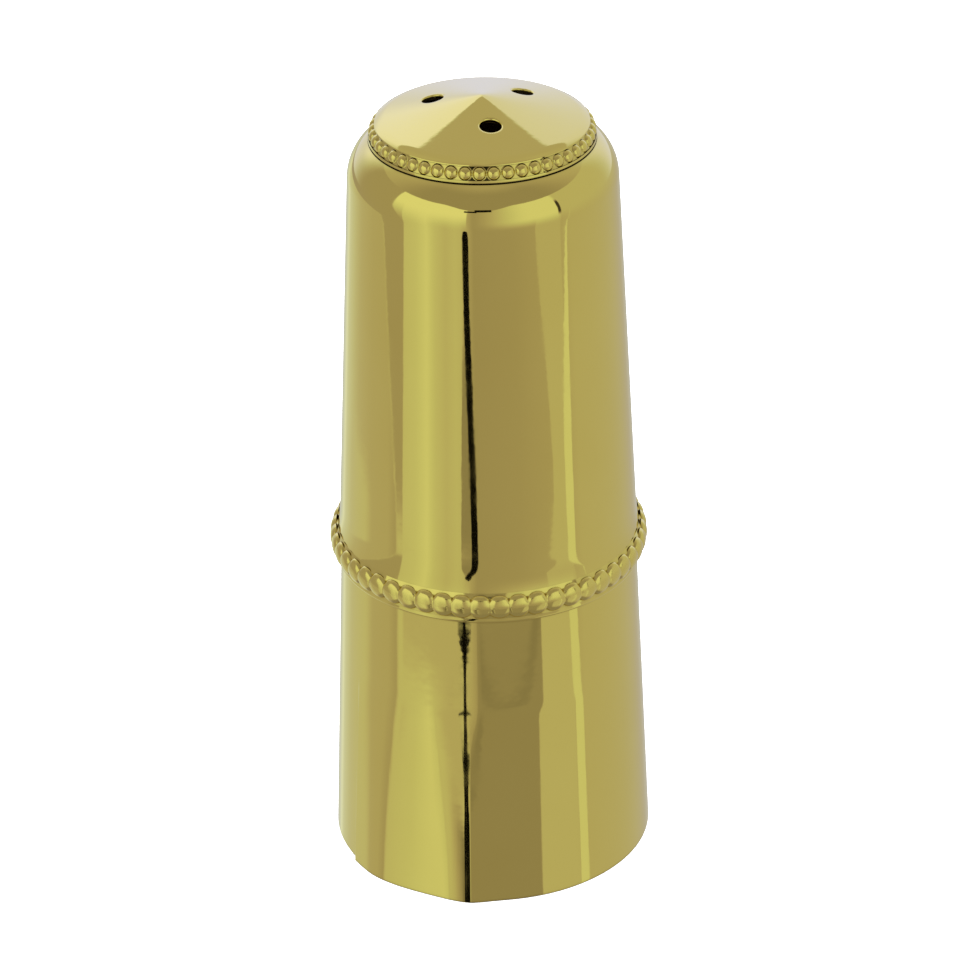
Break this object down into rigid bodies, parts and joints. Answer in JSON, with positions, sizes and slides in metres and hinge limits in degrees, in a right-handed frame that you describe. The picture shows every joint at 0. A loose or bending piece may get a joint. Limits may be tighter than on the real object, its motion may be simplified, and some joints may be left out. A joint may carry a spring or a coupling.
{
  "type": "saxophone ligature with mouthpiece cap",
  "caption": "Tapered split-band mouthpiece ligature with two thumb screws in soldered posts, carrying a lift-off domed cap with a vented crown and beaded rings.",
  "frame": {"origin": "centre of the ligature's bottom rim, on the axis of its bore", "axes": "+Z along the bore from the ligature's open bottom rim to the point of the cap's crown; -Y faces the plain front of the band, and the slit and its screws are towards +Y"},
  "size_m": [0.0318, 0.0398, 0.0799],
  "materials": {
    "ligature_brass": "polished and clear-lacquered gold brass",
    "cap_brass": "polished and clear-lacquered gold brass",
    "bead_brass": "polished beaded trim, clear-lacquered",
    "hardware_brass": "turned and polished brass posts",
    "screw_brass": "turned and polished brass screws"
  },
  "bodies": {
    "ligature": {"ligature_band": "ligature_brass", "lower_threaded_post": "hardware_brass", "lower_plain_post": "hardware_brass", "upper_threaded_post": "hardware_brass", "upper_plain_post": "hardware_brass"},
    "cap": {"cap_shell": "cap_brass", "cap_crown": "cap_brass", "crown_bead_ring": "bead_brass", "mouth_bead_ring": "bead_brass"},
    "lower_screw": {"lower_thumb_screw": "screw_brass", "lower_thumb_plate": "screw_brass"},
    "upper_screw": {"upper_thumb_screw": "screw_brass", "upper_thumb_plate": "screw_brass"}
  },
  "joints": [
    {"name": "cap_lift", "type": "slide", "parent": "ligature", "child": "cap", "axis": [0, 0, 1], "range_m": [0, 0.06]},
    {"name": "lower_screw_turn", "type": "hinge", "parent": "ligature", "child": "lower_screw", "pos_m": [0.00647, 0.01601, 0.009], "axis": [0.9272, -0.3746, 0], "continuous": true},
    {"name": "upper_screw_turn", "type": "hinge", "parent": "ligature", "child": "upper_screw", "pos_m": [0.00622, 0.01538, 0.025], "axis": [0.9272, -0.3746, 0], "continuous": true}
  ]
}
